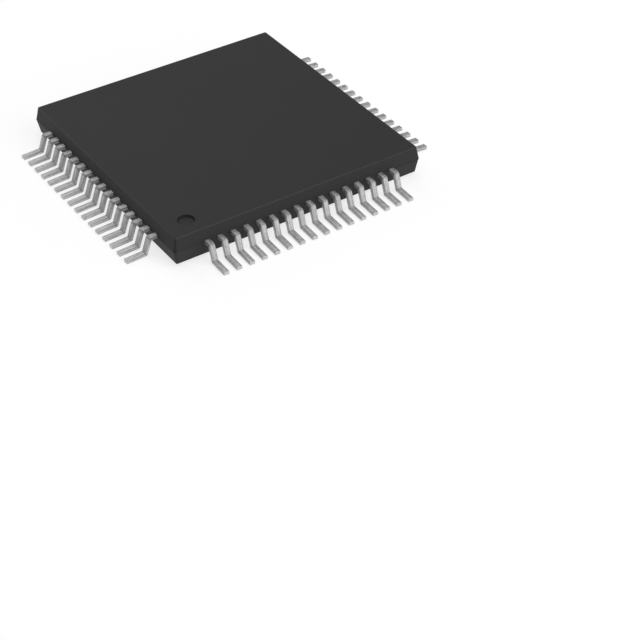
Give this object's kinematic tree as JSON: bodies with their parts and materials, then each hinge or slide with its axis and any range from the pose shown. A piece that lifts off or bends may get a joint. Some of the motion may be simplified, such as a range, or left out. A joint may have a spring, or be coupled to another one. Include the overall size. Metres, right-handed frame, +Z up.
{
  "type": "integrated circuit",
  "caption": "Thin square black integrated circuit package with gull-wing leads on all four sides, a round mark by the first lead and an exposed metal pad underneath.",
  "frame": {"origin": "middle of the seating plane, which the toes of the leads touch", "axes": "+Z up, out of the marked face; -Y towards the side of leads 1 to 16, with the first lead's mark in the -X -Y corner"},
  "size_m": [0.0124, 0.0124, 0.0011],
  "materials": {
    "moulding": "matte",
    "lead_finish": "matte tin plating",
    "pad_finish": "matte tin plating",
    "adhesive": "satin",
    "silicon": "polished"
  },
  "bodies": {
    "root": {"die_attach": "adhesive", "exposed_paddle": "pad_finish", "leads_01_02": "lead_finish", "leads_03_04": "lead_finish", "leads_05_06": "lead_finish", "leads_07_08": "lead_finish", "leads_09_10": "lead_finish", "leads_11_12": "lead_finish", "leads_13_14": "lead_finish", "leads_15_16": "lead_finish", "leads_17_18": "lead_finish", "leads_19_20": "lead_finish", "leads_21_22": "lead_finish", "leads_23_24": "lead_finish", "leads_25_26": "lead_finish", "leads_27_28": "lead_finish", "leads_29_30": "lead_finish", "leads_31_32": "lead_finish", "leads_33_34": "lead_finish", "leads_35_36": "lead_finish", "leads_37_38": "lead_finish", "leads_39_40": "lead_finish", "leads_41_42": "lead_finish", "leads_43_44": "lead_finish", "leads_45_46": "lead_finish", "leads_47_48": "lead_finish", "leads_49_50": "lead_finish", "leads_51_52": "lead_finish", "leads_53_54": "lead_finish", "leads_55_56": "lead_finish", "leads_57_58": "lead_finish", "leads_59_60": "lead_finish", "leads_61_62": "lead_finish", "leads_63_64": "lead_finish", "mould_body": "moulding", "silicon_die": "silicon"}
  },
  "joints": []
}
